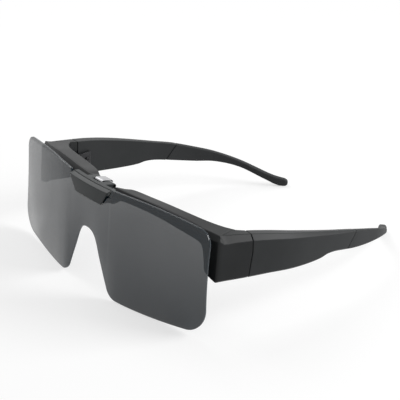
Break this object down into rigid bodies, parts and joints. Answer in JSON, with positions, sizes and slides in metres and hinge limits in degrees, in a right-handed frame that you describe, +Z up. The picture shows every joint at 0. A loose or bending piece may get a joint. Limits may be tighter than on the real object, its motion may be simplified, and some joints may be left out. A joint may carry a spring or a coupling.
{
  "type": "flip-up fit-over sunglasses",
  "caption": "Fit-over sunglasses with a one-piece tinted shield that flips up on a brow hinge, half-rim front frame and folding wide temples.",
  "frame": {"origin": "on the floor, under the middle of the overall box of the open sunglasses", "axes": "+X is the wearer's left, -Y is the way the lens faces, +Z is up"},
  "size_m": [0.1472, 0.1541, 0.0516],
  "materials": {
    "frame_black": "satin black injection-moulded nylon",
    "temple_black": "satin black injection-moulded nylon",
    "soft_black": "soft-touch black rubber",
    "bracket_black": "satin black moulding",
    "smoke_lens": "polished smoke-grey tinted polycarbonate, partly see-through",
    "steel": "bright stainless steel",
    "black_steel": "blackened steel, satin"
  },
  "bodies": {
    "frame": {"front_frame": "frame_black", "hinge_base": "bracket_black", "flip_pin": "steel", "detent_spring": "steel", "base_screw_left": "steel", "base_screw_right": "steel", "frame_hinge_left": "black_steel", "frame_hinge_right": "black_steel", "frame_plate_screw_left": "black_steel", "frame_plate_screw_right": "black_steel", "hinge_screw_left": "black_steel", "hinge_screw_right": "black_steel"},
    "lens": {"shield_lens": "smoke_lens", "bracket_cover": "bracket_black", "bracket_back": "bracket_black", "bracket_screw_left": "steel", "bracket_screw_right": "steel"},
    "left_temple": {"temple_left": "temple_black", "temple_tip_left": "soft_black", "temple_hinge_left": "black_steel", "temple_plate_screw_left": "black_steel"},
    "right_temple": {"temple_right": "temple_black", "temple_tip_right": "soft_black", "temple_hinge_right": "black_steel", "temple_plate_screw_right": "black_steel"}
  },
  "joints": [
    {"name": "lens_flip", "type": "hinge", "parent": "frame", "child": "lens", "pos_m": [0, -0.06659, 0.04852], "axis": [-1, 0, 0], "range_deg": [0, 90]},
    {"name": "left_temple_fold", "type": "hinge", "parent": "frame", "child": "left_temple", "pos_m": [0.06335, -0.04031, 0.03092], "axis": [0, 0, 1], "range_deg": [0, 90]},
    {"name": "right_temple_fold", "type": "hinge", "parent": "frame", "child": "right_temple", "pos_m": [-0.06335, -0.04031, 0.03092], "axis": [0, 0, -1], "range_deg": [0, 80]}
  ]
}
